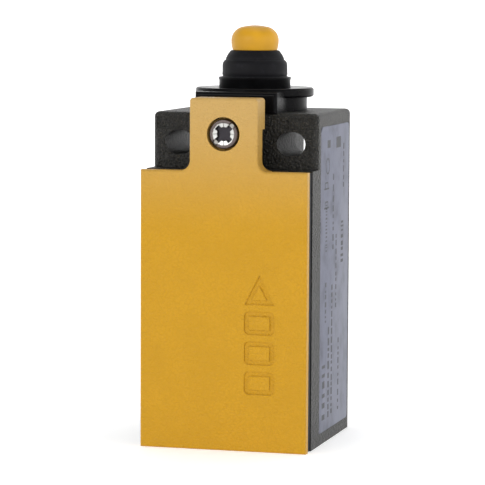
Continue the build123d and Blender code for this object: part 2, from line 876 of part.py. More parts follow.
# ---------------------------------------------------------------- label
with BuildPart() as label:
    box_between(
        (half_width - label_thickness, half_width),
        (front + label_front_setback, front + label_back_setback),
        (label_bottom, label_top),
    )
    chamfer(label.edges().filter_by(Axis.X).group_by(Axis.Z)[-1].sort_by(Axis.Y)[0], label_chamfer)
label.part.label = "label"
export_step(label.part, "parts/label.step")
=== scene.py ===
"""Looks of a plunger limit switch: finishes, rubber boot, plunger, springs, nameplate and studio.

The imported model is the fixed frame. Lengths are in metres, and sizes given in millimetres are
multiplied by MM. Run as a script; the operators can also be called one by one from the sidebar.
"""
import json
import math
import random

import bmesh
import bpy
from mathutils import Matrix, Vector


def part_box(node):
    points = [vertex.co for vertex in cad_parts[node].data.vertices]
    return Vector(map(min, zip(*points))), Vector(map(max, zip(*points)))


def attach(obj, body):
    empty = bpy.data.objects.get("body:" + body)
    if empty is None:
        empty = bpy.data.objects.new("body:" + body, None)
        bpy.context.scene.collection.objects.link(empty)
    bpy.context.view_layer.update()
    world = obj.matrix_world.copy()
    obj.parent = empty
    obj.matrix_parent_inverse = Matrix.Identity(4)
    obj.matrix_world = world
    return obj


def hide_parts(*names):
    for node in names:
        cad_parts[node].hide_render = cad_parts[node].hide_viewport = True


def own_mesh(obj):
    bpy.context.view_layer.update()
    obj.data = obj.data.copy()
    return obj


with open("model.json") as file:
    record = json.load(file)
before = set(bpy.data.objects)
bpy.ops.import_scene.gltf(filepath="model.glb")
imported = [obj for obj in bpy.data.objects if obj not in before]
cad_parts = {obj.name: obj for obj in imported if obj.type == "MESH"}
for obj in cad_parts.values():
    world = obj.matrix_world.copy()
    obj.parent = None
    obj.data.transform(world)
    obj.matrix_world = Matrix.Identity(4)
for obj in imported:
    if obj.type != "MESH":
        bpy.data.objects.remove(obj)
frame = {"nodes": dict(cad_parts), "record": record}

bl_info = {
    "name": "Limit switch looks",
    "version": (1, 0, 0),
    "blender": (4, 5, 0),
    "location": "View3D > Sidebar > Switch",
    "description": "Finishes and detail pieces for a plunger limit switch",
    "category": "Object",
}

MM = 0.001
SCREW_HEAD_HEIGHT = 1.5 * MM
SCREW_SHANK_RADIUS = 1.5 * MM
RETURN_WIRE = 0.5 * MM
RETURN_TURNS = 6
CONTACT_WIRE = 0.3 * MM
CONTACT_TURNS = 3
PIECE_WELD = 1e-7

# sockets of the colour Mix node, whose names are shared by its other data types
MIX_FACTOR, MIX_FIRST, MIX_SECOND = 0, 6, 7
MIX_COLOR = 2

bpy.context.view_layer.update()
CASE = "case"
PLUNGER = "plunger"
BRIDGES = "bridges"
CAP_LOW, CAP_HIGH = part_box("plunger_cap")
AXIS_Y = (CAP_LOW.y + CAP_HIGH.y) / 2
FINISHES = {}


# ------------------------------------------------------------------ shader writing
class Field:
    """One value in a material's node tree, with arithmetic written as Python."""

    def __init__(self, finish, socket):
        self.finish = finish
        self.socket = socket

    def _math(self, operation, first, second):
        return self.finish.node("ShaderNodeMath", {"operation": operation}, {0: first, 1: second})

    def __add__(self, other):
        return self._math("ADD", self, other)

    __radd__ = __add__

    def __sub__(self, other):
        return self._math("SUBTRACT", self, other)

    def __rsub__(self, other):
        return self._math("SUBTRACT", other, self)

    def __mul__(self, other):
        return self._math("MULTIPLY", self, other)

    __rmul__ = __mul__

    def __pow__(self, other):
        return self._math("POWER", self, other)

    def at_most(self, other):
        """The smaller of the two values."""
        return self._math("MINIMUM", self, other)

    def ramp(self, low, high):
        """Maps low..high smoothly onto 0..1, and holds the ends."""
        settings = {"interpolation_type": "SMOOTHSTEP"}
        sockets = {"Value": self, "From Min": low, "From Max": high, "To Min": 0.0, "To Max": 1.0}
        return self.finish.node("ShaderNodeMapRange", settings, sockets)


class Finish:
    """A procedural material on object coordinates, built round one Principled shader."""

    def __init__(self, name, constants):
        self.name = name
        self.material = bpy.data.materials.new(name)
        self.material.use_nodes = True
        self.tree = self.material.node_tree
        self.tree.nodes.clear()
        self.shader = self.tree.nodes.new("ShaderNodeBsdfPrincipled")
        output = self.tree.nodes.new("ShaderNodeOutputMaterial")
        self.tree.links.new(self.shader.outputs[0], output.inputs[0])
        for socket_name, value in constants.items():
            self.shader.inputs[socket_name].default_value = value
        self.place = self.node("ShaderNodeTexCoord", output="Object")

    def node(self, kind, settings=None, sockets=None, output=0):
        """Adds a node, its settings first and then its sockets' values or links, and gives an output."""
        made = self.tree.nodes.new(kind)
        for setting, value in (settings or {}).items():
            setattr(made, setting, value)
        for socket_name, value in (sockets or {}).items():
            if isinstance(value, Field):
                self.tree.links.new(value.socket, made.inputs[socket_name])
            else:
                made.inputs[socket_name].default_value = value
        return Field(self, made.outputs[output])

    def noise(self, size, detail=3.0, roughness=0.5, stretch=(1, 1, 1)):
        """Soft noise, 0 to 1, whose blotches are about size metres across."""
        placing = {"Vector": self.place, "Scale": stretch}
        where = self.node("ShaderNodeMapping", {"vector_type": "POINT"}, placing)
        sockets = {"Vector": where, "Scale": 1 / size, "Detail": detail, "Roughness": roughness}
        return self.node("ShaderNodeTexNoise", {}, sockets)

    def cells(self, size, smoothness=0.6, wobble=0.35):
        """Rounded cells about size metres across: 0 at the middles, rising to the seams."""
        bends = {"Vector": self.place, "Scale": 1.5 / size}
        shift = self.node("ShaderNodeTexNoise", {}, bends, output="Color")
        moved = {0: shift, 1: (wobble * size,) * 3, 2: self.place}
        bent = self.node("ShaderNodeVectorMath", {"operation": "MULTIPLY_ADD"}, moved)
        settings = {"feature": "SMOOTH_F1", "distance": "EUCLIDEAN"}
        sockets = {"Vector": bent, "Scale": 1 / size, "Smoothness": smoothness}
        return self.node("ShaderNodeTexVoronoi", settings, sockets, output="Distance")

    def along(self, axis):
        """One coordinate of the point on the piece, in metres."""
        return self.node("ShaderNodeSeparateXYZ", {}, {"Vector": self.place}, output=axis)

    def blend_colors(self, factor, first, second):
        """The first colour where factor is 0, the second where it is 1."""
        sockets = {MIX_FACTOR: factor, MIX_FIRST: first, MIX_SECOND: second}
        return self.node("ShaderNodeMix", {"data_type": "RGBA"}, sockets, output=MIX_COLOR)

    def bump(self, height, depth):
        """A normal from a height field; depth is the relief in metres."""
        return self.node("ShaderNodeBump", {}, {"Strength": 1.0, "Distance": depth, "Height": height})

    def use(self, links):
        """Links fields to the shader's sockets and keeps the material under its name."""
        for socket_name, field in links.items():
            self.tree.links.new(field.socket, self.shader.inputs[socket_name])
        FINISHES[self.name] = self.material


def rgb(color):
    """A colour's first three numbers with full opacity."""
    return (*tuple(color)[:3], 1.0)


def grey(value):
    """An even grey."""
    return rgb((value, value, value))


def scaled(color, factor):
    """The same colour, lighter or darker."""
    return rgb(min(1.0, part * factor) for part in rgb(color))


# ------------------------------------------------------------------ sizes and colours a user may change
def color_setting(name, description, default):
    """A colour with a label, a tooltip and its first value."""
    return bpy.props.FloatVectorProperty(
        name=name, description=description, subtype="COLOR", default=default
    )


def length_setting(name, description, default):
    """A length in metres with a label, a tooltip and its first value."""
    return bpy.props.FloatProperty(
        name=name, description=description, unit="LENGTH", default=default
    )


class FinishColors(bpy.types.PropertyGroup):
    """Colours of the visible finishes."""

    cover: color_setting("Cover", "Paint of the front cover", (0.525, 0.273, 0.008))
    plunger: color_setting("Plunger", "Plastic of the rounded plunger", (0.57, 0.29, 0.012))
    case: color_setting("Case", "Paint of the case", (0.009, 0.0085, 0.007))
    head: color_setting("Head", "Plastic of the head", (0.003, 0.003, 0.0035))
    rubber: color_setting("Rubber", "Rubber of the boot and seals", (0.005, 0.005, 0.0065))
    plate: color_setting("Nameplate", "Foil of the nameplate", (0.135, 0.143, 0.19))
    ink: color_setting("Ink", "Print on the nameplate", (0.012, 0.013, 0.02))


class PieceSizes(bpy.types.PropertyGroup):
    """Sizes of the pieces that are modelled here."""

    turns_around: bpy.props.IntProperty(
        name="Steps round", description="Steps of every turned piece", default=96, min=24
    )
    boot_wall: length_setting("Boot wall", "Thickness of the rubber", 0.8 * MM)
    boot_waist: length_setting("Boot bands", "Depth of the bands round the boot", 0.12 * MM)
    grain_size: length_setting("Paint grain", "Width of one grain of the paint", 0.42 * MM)
    plate_corner: length_setting("Nameplate corner", "Rounding of the nameplate", 0.6 * MM)


def colors():
    """The colour settings of the scene."""
    return bpy.context.scene.switch_colors


def sizes():
    """The size settings of the scene."""
    return bpy.context.scene.switch_sizes


# ------------------------------------------------------------------ finishes
def grained_paint(name, color, roughness, specular, seam_shade, depth, painted_top_light=None, painted_glint=None):
    """Powder-like paint with a fine leathery grain: domed grains, shaded seams, faint mottling.

    The painted glint is the colour of small bright flecks: painted highlights on the grain. The painted
    top light is a start height, an end height and the lighter colour of painted light near the top.
    """
    finish = Finish(name, {"Metallic": 0.0, "Roughness": roughness, "Specular IOR Level": specular})
    size = sizes().grain_size
    mottle_size = 7 * MM
    dome = 1 - finish.cells(size).ramp(0.1, 0.8)
    fine = finish.noise(size * 0.4, detail=2.0)
    mottle = finish.noise(mottle_size, detail=3.0).ramp(0.3, 0.7)
    seam = ((1 - dome) * 0.6 + fine * 0.4).ramp(0.3, 0.9)
    paint = finish.blend_colors(mottle, scaled(color, 0.97), scaled(color, 1.03))
    paint = finish.blend_colors(seam, paint, scaled(color, seam_shade))
    # painted highlight: small bright flecks stand in for glints of light on the grain
    if painted_glint:
        glint_mask = finish.noise(size * 0.7, detail=3.0, roughness=0.7).ramp(0.5, 0.68)
        paint = finish.blend_colors(glint_mask, paint, painted_glint)
    # painted light: the paint turns lighter towards the top, where more light falls on it
    if painted_top_light:
        start, end, top_light_tan = painted_top_light
        top_light_mask = (finish.along("Z").ramp(start, end) * (0.75 + fine * 0.5)).at_most(1.0)
        paint = finish.blend_colors(top_light_mask, paint, top_light_tan)
    normal = finish.bump(dome * 0.7 + fine * 0.5, depth)
    rough = roughness + (fine - 0.5) * 0.15
    finish.use({"Base Color": paint, "Roughness": rough, "Normal": normal})


def moulded_plastic(name, color, roughness, texture_depth=0.01 * MM, specular=0.06):
    """Injection-moulded plastic: a fine spark-eroded texture and slightly uneven gloss."""
    finish = Finish(name, {"Metallic": 0.0, "Roughness": roughness, "Specular IOR Level": specular})
    pit_size = 0.18 * MM
    patch_size = 6 * MM
    fine = finish.noise(pit_size, detail=2.0)
    broad = finish.noise(patch_size, detail=2.0)
    base = finish.blend_colors(broad.ramp(0.3, 0.7), scaled(color, 0.9), scaled(color, 1.12))
    rough = roughness + (fine - 0.5) * 0.12 + (broad - 0.5) * 0.1
    normal = finish.bump(fine, texture_depth)
    finish.use({"Base Color": base, "Roughness": rough, "Normal": normal})


def boot_rubber(name, color):
    """Satin rubber with dusty patches, a fine skin and faint moulding rings."""
    finish = Finish(name, {"Metallic": 0.0, "Roughness": 0.5, "Specular IOR Level": 0.12})
    dust_size = 1.1 * MM
    skin_size = 0.12 * MM
    ring_height = 0.5 * MM
    relief_depth = 0.015 * MM
    dust = finish.noise(dust_size, detail=4.0, roughness=0.6)
    skin = finish.noise(skin_size, detail=2.0)
    rings = finish.noise(ring_height, detail=1.0, stretch=(0.02, 0.02, 1.0))
    base = finish.blend_colors(dust.ramp(0.5, 0.8), rgb(color), scaled(color, 2.2))
    rough = 0.42 + dust * 0.2
    normal = finish.bump(skin * 0.5 + rings * 0.5, relief_depth)
    finish.use({"Base Color": base, "Roughness": rough, "Normal": normal})


def turned_metal(name, color, roughness, scratch=(1, 1, 40)):
    """Plated or drawn metal with fine directional marks and a little tarnish."""
    finish = Finish(name, {"Metallic": 1.0, "Roughness": roughness})
    mark_size = 0.9 * MM
    mark_depth = 0.006 * MM
    tarnish_size = 2.5 * MM
    marks = finish.noise(mark_size, detail=3.0, roughness=0.6, stretch=scratch)
    tarnish = finish.noise(tarnish_size, detail=4.0, roughness=0.6)
    base = finish.blend_colors(tarnish.ramp(0.45, 0.75), rgb(color), scaled(color, 0.72))
    rough = roughness + marks * 0.12 + tarnish * 0.1
    normal = finish.bump(marks, mark_depth)
    finish.use({"Base Color": base, "Roughness": rough, "Normal": normal})


def driven_screw(name, axis_z, face_y):
    """Plated screw head: worn bright round its recess, a painted shade darkening the outer ring
    brown-grey, and painted shade deepening down the recess.
    """
    finish = Finish(name, {"Metallic": 1.0, "Roughness": 0.3})
    wear_size = 0.35 * MM
    wear_depth = 0.01 * MM
    worn_radius = 1.9 * MM
    rim_shade_radius = 2.05 * MM
    ragged = 0.3 * MM
    slot_shade_start, slot_shade_end = 0.25 * MM, 0.35 * MM
    recess_shade_start, recess_shade_end = 0.5 * MM, 0.7 * MM
    worn = (0.62, 0.62, 0.60, 1.0)
    # painted shade: the outer ring is coloured dark brown-grey for the shade that lies on it
    shaded_rim_color = (0.11, 0.09, 0.085, 1.0)
    # painted shade: the slot and the depths of the recess are coloured darker, step by step with depth
    slot = (0.30, 0.29, 0.27, 1.0)
    recess_shade = (0.035, 0.032, 0.036, 1.0)
    off_x = finish.along("X")
    off_z = finish.along("Z") - axis_z
    reach = (off_x * off_x + off_z * off_z) ** 0.5
    sunk = finish.along("Y") - face_y
    wear = finish.noise(wear_size, detail=3.0)
    rim = (reach + (wear - 0.5) * ragged).ramp(worn_radius, rim_shade_radius)
    metal = finish.blend_colors(rim, worn, shaded_rim_color)
    # painted shade in the recess, darker the deeper the point lies
    metal = finish.blend_colors(sunk.ramp(slot_shade_start, slot_shade_end), metal, slot)
    metal = finish.blend_colors(sunk.ramp(recess_shade_start, recess_shade_end), metal, recess_shade)
    rough = 0.25 + wear * 0.25
    normal = finish.bump(wear, wear_depth)
    finish.use({"Base Color": metal, "Roughness": rough, "Normal": normal})


def foil_plate(name, color):
    """Matt metallised foil: brushed along its length, with small smudges."""
    finish = Finish(name, {"Metallic": 0.2, "Roughness": 0.45, "Specular IOR Level": 0.5})
    line_width = 0.5 * MM
    line_depth = 0.004 * MM
    smudge_size = 5 * MM
    brushed = finish.noise(line_width, detail=3.0, stretch=(1, 1, 0.03))
    smudge = finish.noise(smudge_size, detail=4.0, roughness=0.6)
    base = finish.blend_colors(smudge.ramp(0.4, 0.75), scaled(color, 1.12), scaled(color, 0.74))
    rough = 0.4 + brushed * 0.12 + smudge * 0.1
    normal = finish.bump(brushed, line_depth)
    finish.use({"Base Color": base, "Roughness": rough, "Normal": normal})


def printing_ink(name, color):
    """Thin ink that lets a little of the foil through where it is worn."""
    finish = Finish(name, {"Metallic": 0.0, "Roughness": 0.5})
    worn_size = 0.6 * MM
    worn = finish.noise(worn_size, detail=3.0).ramp(0.5, 0.85)
    base = finish.blend_colors(worn, rgb(color), scaled(colors().plate, 0.4))
    finish.use({"Base Color": base})


def studio_paper(name):
    """Pale, even backdrop with the faintest paper tooth, lit evenly far from the part."""
    finish = Finish(name, {"Metallic": 0.0, "Roughness": 0.85, "Emission Strength": 1.0})
    tooth_size = 2 * MM
    glow_near, glow_far = 0.1, 0.9
    fade_low, fade_high = 0.3, 0.9
    tooth = finish.noise(tooth_size, detail=3.0)
    paper = finish.blend_colors(tooth, grey(0.86), grey(0.88))
    off_x = finish.along("X")
    off_y = finish.along("Y")
    reach = (off_x * off_x + off_y * off_y) ** 0.5
    low = 1 - finish.along("Z").ramp(fade_low, fade_high)
    glow = finish.blend_colors(reach.ramp(glow_near, glow_far) * low, grey(0.42), grey(0.76))
    finish.use({"Base Color": paper, "Emission Color": glow})


def make_finishes():
    """Makes every material once."""
    chosen = colors()
    # painted highlight: colour of the bright flecks on the case's grain
    painted_glint = (0.040, 0.036, 0.026, 1.0)
    # painted light: lighter tan that the cover fades to towards its top
    top_light_tan = (0.50, 0.315, 0.10, 1.0)
    painted_top_light = (38 * MM, 64 * MM, top_light_tan)
    cover_depth = 0.12 * MM
    case_depth = 0.22 * MM
    cap_depth = 0.004 * MM
    along_x, along_y = (40, 1, 1), (1, 40, 1)
    grained_paint("cover_yellow", chosen.cover, 0.40, 0.2, 0.95, cover_depth, painted_top_light=painted_top_light)
    grained_paint("case_black", chosen.case, 0.42, 0.3, 0.6, case_depth, painted_glint=painted_glint)
    moulded_plastic("head_black", chosen.head, 0.24)
    moulded_plastic("ring_black", chosen.head, 0.30)
    boot_rubber("boot_rubber", chosen.rubber)
    boot_rubber("rubber_black", chosen.rubber)
    moulded_plastic("plunger_yellow", chosen.plunger, 0.38, cap_depth, specular=0.25)
    foil_plate("label_silver", chosen.plate)
    printing_ink("label_ink", chosen.ink)
    turned_metal("screw_steel", (0.56, 0.54, 0.50), 0.28)
    turned_metal("spring_steel", (0.50, 0.51, 0.53), 0.25)
    turned_metal("rod_steel", (0.60, 0.60, 0.62), 0.15)
    turned_metal("clamp_steel", (0.58, 0.58, 0.56), 0.32, scratch=along_x)
    turned_metal("brass", (0.72, 0.50, 0.20), 0.25)
    turned_metal("contact_brass", (0.80, 0.55, 0.28), 0.28, scratch=along_y)
    turned_metal("tip_silver", (0.84, 0.83, 0.80), 0.3)
    moulded_plastic("block_plastic", (0.60, 0.58, 0.52), 0.5)
    moulded_plastic("carrier_plastic", (0.24, 0.05, 0.035), 0.4)


def finish_frame_nodes():
    """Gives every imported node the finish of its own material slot."""
    for part in frame["record"]["subparts"]:
        node = frame["nodes"][part["node"]]
        for index in range(len(node.material_slots)):
            node.material_slots[index].material = FINISHES[part["material_slot"]]


# ------------------------------------------------------------------ mesh helpers
def make_piece(name, builder, finish_name, body, smooth_angle=40.0):
    """Turns a bmesh into a piece that rides on a body and has one finish."""
    bmesh.ops.remove_doubles(builder, verts=builder.verts, dist=PIECE_WELD)
    bmesh.ops.recalc_face_normals(builder, faces=builder.faces)
    mesh = bpy.data.meshes.new(name)
    builder.to_mesh(mesh)
    builder.free()
    mesh.materials.append(FINISHES[finish_name])
    piece = bpy.data.objects.new(name, mesh)
    bpy.context.scene.collection.objects.link(piece)
    mesh.shade_smooth()
    mesh.set_sharp_from_angle(angle=math.radians(smooth_angle))
    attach(piece, body)
    return piece


def arc(center, radius, start, end, steps):
    """Points (radius, height) on an arc in the turning plane; angles in degrees."""
    angles = [math.radians(start + (end - start) * step / steps) for step in range(steps + 1)]
    return [(center[0] + radius * math.cos(a), center[1] + radius * math.sin(a)) for a in angles]


def turned(profile, closed=True):
    """Spins a profile of (radius, height) points a full turn round the plunger's axis."""
    builder = bmesh.new()
    points = [builder.verts.new((radius, AXIS_Y, height)) for radius, height in profile]
    edges = [builder.edges.new(pair) for pair in zip(points, points[1:])]
    if closed:
        edges.append(builder.edges.new((points[-1], points[0])))
    bmesh.ops.spin(
        builder,
        geom=points + edges,
        cent=(0, AXIS_Y, 0),
        axis=(0, 0, 1),
        angle=2 * math.pi,
        steps=sizes().turns_around,
        use_merge=True,
    )
    return builder


def flattens_to(piece):
    """Gives the piece its own copy of its mesh."""
    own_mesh(piece)


# ------------------------------------------------------------------ pieces
def build_boot():
    """Turned rubber boot: its foot inside the ring, a groove, a shoulder, a cone and a rounded mouth."""
    low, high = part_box("boot")
    top = high.z
    outer = (high.x - low.x) / 2
    wall = sizes().boot_wall
    groove_depth = sizes().boot_waist
    groove_half = 0.2 * MM
    groove_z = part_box("boot_collar")[1].z + 0.25 * MM
    side = outer - 0.04 * MM
    side_z = groove_z + 0.8 * MM
    shoulder = outer - 0.12 * MM
    shoulder_z = top - 2.3 * MM
    shoulder_rise = 0.35 * MM
    foot_radius = 5.67 * MM
    foot_z = shoulder_z + 0.42 * MM
    cone_radius = 5.42 * MM
    cone_z = top - 1.55 * MM
    neck_radius = 5.04 * MM
    neck_z = cone_z + 0.8 * MM
    mouth_outer = 4.7 * MM
    mouth_inner = 4.35 * MM
    mouth_radius = 3.66 * MM
    lip = 0.45 * MM
    outside = [
        (outer, low.z),
        (outer, groove_z - groove_half),
        (outer - groove_depth, groove_z),
        (outer, groove_z + groove_half),
        (side, side_z),
        (side, shoulder_z - shoulder_rise),
        (shoulder, shoulder_z),
        (foot_radius, foot_z),
        (cone_radius, foot_z + 0.1 * MM),
        (cone_radius - 0.05 * MM, cone_z + 0.1 * MM),
        (neck_radius, neck_z),
    ]
    mouth = arc((mouth_outer - lip, top - lip), lip, 20, 90, 6)
    inside = [
        (mouth_radius, top),
        (mouth_radius, top - wall),
        (mouth_inner, top - wall),
        (cone_radius - wall, cone_z),
        (outer - wall, shoulder_z - wall / 2),
        (outer - wall, low.z),
    ]
    builder = turned(outside + mouth + inside)
    piece = make_piece("rubber_boot", builder, "boot_rubber", CASE, smooth_angle=50)
    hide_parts("boot")
    flattens_to(piece)


def build_boot_ring():
    """Ring that holds the boot's foot, its upper rim turned out a little."""
    low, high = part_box("boot_collar")
    outer = (high.x - low.x) / 2
    inner = outer - 0.5 * MM
    side = outer - 0.1 * MM
    rim = 0.12 * MM
    rim_start = high.z - 0.55 * MM
    rim_end = high.z - 0.35 * MM
    bevel = 0.1 * MM
    bevel_drop = 0.02 * MM
    profile = [
        (inner, low.z),
        (side, low.z),
        (side, rim_start),
        (outer, rim_end),
        *arc((outer - rim, high.z - rim), rim, 0, 90, 4),
        (inner + bevel, high.z - bevel_drop),
        (inner, high.z - bevel),
    ]
    piece = make_piece("boot_ring", turned(profile), "ring_black", CASE)
    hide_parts("boot_collar")


def build_plunger_cap():
    """Rounded plunger: barrel-shaped side that runs into a flattened dome."""
    top = CAP_HIGH.z
    widest = (CAP_HIGH.x - CAP_LOW.x) / 2
    boot_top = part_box("boot")[1].z
    waist = 4.13 * MM
    neck = 3.6 * MM
    bore = 2.54 * MM
    bore_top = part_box("plunger_rod")[1].z
    neck_z = boot_top - 0.85 * MM
    barrel_z = boot_top + 0.05 * MM
    crown = 2.75 * MM
    flattening = 0.18 * MM
    side_z = top - crown
    dome_steps = [math.radians(degrees) for degrees in range(6, 90, 6)]
    barrel = [
        (widest - (widest - waist) * (1 - t) ** 2, barrel_z + t * (side_z - barrel_z))
        for t in (0, 0.15, 0.3, 0.5, 0.75, 1.0)
    ]
    dome = [
        (widest - crown + crown * math.cos(a), side_z + (crown - flattening) * math.sin(a))
        for a in dome_steps
    ]
    rim_radius, rim_z = dome[-1]
    cap = [
        (rim_radius * (1 - t), rim_z + (top - rim_z) * (1 - (1 - t) ** 2))
        for t in (0.25, 0.5, 0.75, 1.0)
    ]
    profile = [
        (0, bore_top),
        (bore, bore_top),
        (bore, CAP_LOW.z),
        (waist, CAP_LOW.z),
        (waist, neck_z),
        (neck, neck_z),
        (neck, barrel_z),
        *barrel,
        *dome,
        *cap,
    ]
    piece = make_piece("rounded_plunger", turned(profile, closed=False), "plunger_yellow", PLUNGER)
    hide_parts("plunger_cap")


def recess_depth(off_x, off_z):
    """Depth of the drive recess: a cross with a pit, a slot across it, sloped facets and four ticks."""
    wall_slope = 0.07 * MM
    arm_half = 0.48 * MM
    arm_length = 1.8 * MM
    pit_radius = 1.25 * MM
    cross_depth = 0.85 * MM
    slot_depth = 0.38 * MM
    facet_radius = 2.05 * MM
    facet_width = 0.8 * MM
    facet_depth = 0.22 * MM
    tick_half = 0.09 * MM
    tick_length = 2.0 * MM
    tick_depth = 0.14 * MM

    def inside(edge, value, slope=wall_slope):
        return min(1.0, max(0.0, (edge - value) / slope))

    reach = math.hypot(off_x, off_z)
    along = abs(off_x + off_z) / math.sqrt(2)
    across = abs(off_x - off_z) / math.sqrt(2)
    rising = inside(arm_half, across) * inside(arm_length, along)
    falling = inside(arm_half, along) * inside(arm_length, across)
    cross = cross_depth * max(rising, falling, inside(pit_radius, reach))
    slot = slot_depth * inside(arm_half, across)
    facet = facet_depth * inside(facet_radius, reach, facet_width)
    tick = tick_depth * inside(tick_half, min(abs(off_x), abs(off_z))) * inside(tick_length, reach)
    return max(cross, slot, facet + tick)


def build_cover_screw():
    """Screw that holds the cover: rounded head, drive recess and shank."""
    low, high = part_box("cover_screw")
    axis_z = (low.z + high.z) / 2
    radius = (high.x - low.x) / 2
    edge = 0.3 * MM
    seat = low.y + SCREW_HEAD_HEIGHT
    shank = SCREW_SHANK_RADIUS
    rings = 50
    face = [((radius - edge) * step / rings, low.y) for step in range(rings)]
    turns = [math.radians(degrees) for degrees in range(0, 91, 15)]
    rim = [
        (radius - edge + edge * math.sin(turn), low.y + edge * (1 - math.cos(turn)))
        for turn in turns
    ]
    below = [(radius, seat), (shank, seat), (shank, high.y - edge), (shank - edge, high.y), (0, high.y)]
    builder = turned([*face, *rim, *below], closed=False)
    lay_down = Matrix.Translation((0, 0, axis_z)) @ Matrix.Rotation(-math.pi / 2, 4, "X")
    to_axis = lay_down @ Matrix.Translation((0, -AXIS_Y, 0))
    bmesh.ops.transform(builder, matrix=to_axis, verts=builder.verts)
    for vert in builder.verts:
        if vert.co.y < low.y + edge / 20:
            vert.co.y += recess_depth(vert.co.x, vert.co.z - axis_z)
    driven_screw("screw_head", axis_z, low.y)
    piece = make_piece("driven_screw", builder, "screw_head", CASE, smooth_angle=25)
    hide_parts("cover_screw")


def add_box(builder, low, high):
    """A box between two corners."""
    size = [high[i] - low[i] for i in range(3)]
    middle = [(high[i] + low[i]) / 2 for i in range(3)]
    matrix = Matrix.Translation(middle) @ Matrix.Diagonal((*size, 1))
    bmesh.ops.create_cube(builder, size=1.0, matrix=matrix)


def build_nameplate():
    """Thin foil plate in the case's shallow field, its corners rounded and one cut off."""
    low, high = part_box("label")
    cut = 1.2 * MM
    rim_bevel = 0.04 * MM
    same_place = 1e-6
    on_face = 1e-7
    shared = {"affect": "EDGES", "profile": 0.5, "material": -1}
    builder = bmesh.new()
    add_box(builder, low, high)
    ends = [(edge, *(vert.co for vert in edge.verts)) for edge in builder.edges]
    across = [edge for edge, first, second in ends if abs(first.x - second.x) > same_place]
    corner = min(across, key=lambda edge: edge.verts[0].co.y - edge.verts[0].co.z)
    others = [edge for edge in across if edge is not corner]
    bmesh.ops.bevel(builder, geom=others, offset=sizes().plate_corner, segments=6, **shared)
    bmesh.ops.bevel(builder, geom=[corner], offset=cut, segments=1, **shared)
    rim = [edge for edge in builder.edges if all(abs(v.co.x - high.x) < on_face for v in edge.verts)]
    bmesh.ops.bevel(builder, geom=rim, offset=rim_bevel, segments=2, **shared)
    piece = make_piece("nameplate", builder, "label_silver", CASE)
    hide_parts("label")


# columns of bars, in millimetres from the plate's front edge and foot:
# distance, start, end, width, longest bar, gap
PRINT_COLUMNS = (
    (2.9, 2.2, 14.5, 2.3, 1.5, 0.9),
    (6.6, 2.2, 20.5, 1.2, 1.5, 0.5),
    (9.0, 2.6, 26.5, 1.0, 1.3, 0.5),
    (14.2, 2.6, 17.0, 0.8, 1.2, 0.6),
    (4.2, 20.0, 27.5, 1.0, 1.0, 0.5),
    (4.4, 33.0, 42.0, 1.2, 0.35, 0.35),
    (12.0, 22.0, 36.0, 0.8, 1.1, 0.5),
    (16.6, 30.0, 38.0, 2.0, 0.9, 0.5),
    (9.6, 33.0, 47.5, 0.9, 1.4, 0.6),
    (17.5, 44.0, 53.5, 0.7, 1.2, 0.5),
)
# blocks near the plate's top: distance, height above the foot, width, length
PRINT_BLOCKS = ((13.4, 52.6, 3.4, 2.0), (6.0, 52.6, 2.2, 1.4))
PRINT_SEED = 11


def build_nameplate_print():
    """Generic print: columns of short bars, blocks, a contact diagram and a ring. No letters."""
    low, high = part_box("label")
    draws = random.Random(PRINT_SEED)
    builder = bmesh.new()
    raise_by = 0.012 * MM
    face = high.x
    line = 0.28 * MM
    diagram_y = 4.4 * MM
    diagram_width = 3.6 * MM
    contact_heights = (44.5 * MM, 41.0 * MM)
    contact_width = 2.0 * MM
    contact_gap = 1.1 * MM
    ring_y = 5.2 * MM
    ring_z = 48.6 * MM
    ring_radius = 1.5 * MM

    def mark(y, z, width, height):
        """A flat bar with its middle at distance y from the plate's front edge and z from its foot."""
        half = Vector((raise_by, width / 2, height / 2))
        middle = Vector((face, low.y + y, low.z + z))
        add_box(builder, middle - half, middle + half)

    for y, z_start, z_end, width, longest, gap in PRINT_COLUMNS:
        z = z_start
        while z < z_end:
            length = longest * draws.uniform(0.35, 1.0)
            if z + length > z_end:
                break
            mark(y * MM, (z + length / 2) * MM, width * draws.uniform(0.75, 1.0) * MM, length * MM)
            z += length + gap * draws.uniform(0.6, 1.4)
    for block in PRINT_BLOCKS:
        mark(*(number * MM for number in block))

    # contact diagram: two closed contacts between vertical lines
    for z in contact_heights:
        mark(diagram_y, z, diagram_width, line)
        mark(diagram_y, z + contact_gap, contact_width, line)
        for side in (-contact_width / 2, contact_width / 2):
            mark(diagram_y + side, z + contact_gap / 2, line, contact_gap)

    # ring beside the diagram
    ring_center = Vector((face, low.y + ring_y, low.z + ring_z))
    turn = Matrix.Translation(ring_center) @ Matrix.Rotation(math.pi / 2, 4, "Y")
    outer = bmesh.ops.create_circle(
        builder, cap_ends=True, segments=40, radius=ring_radius, matrix=turn
    )["verts"]
    disc = outer[0].link_faces[0]
    bmesh.ops.inset_individual(builder, faces=[disc], thickness=line)
    bmesh.ops.delete(builder, geom=[disc], context="FACES_ONLY")
    ring_faces = {ring_face for vert in outer for ring_face in vert.link_faces}
    lifted = bmesh.ops.extrude_face_region(builder, geom=list(ring_faces))["geom"]
    lifted_verts = [item for item in lifted if isinstance(item, bmesh.types.BMVert)]
    bmesh.ops.translate(builder, verts=lifted_verts, vec=(raise_by, 0, 0))
    make_piece("nameplate_print", builder, "label_ink", CASE)


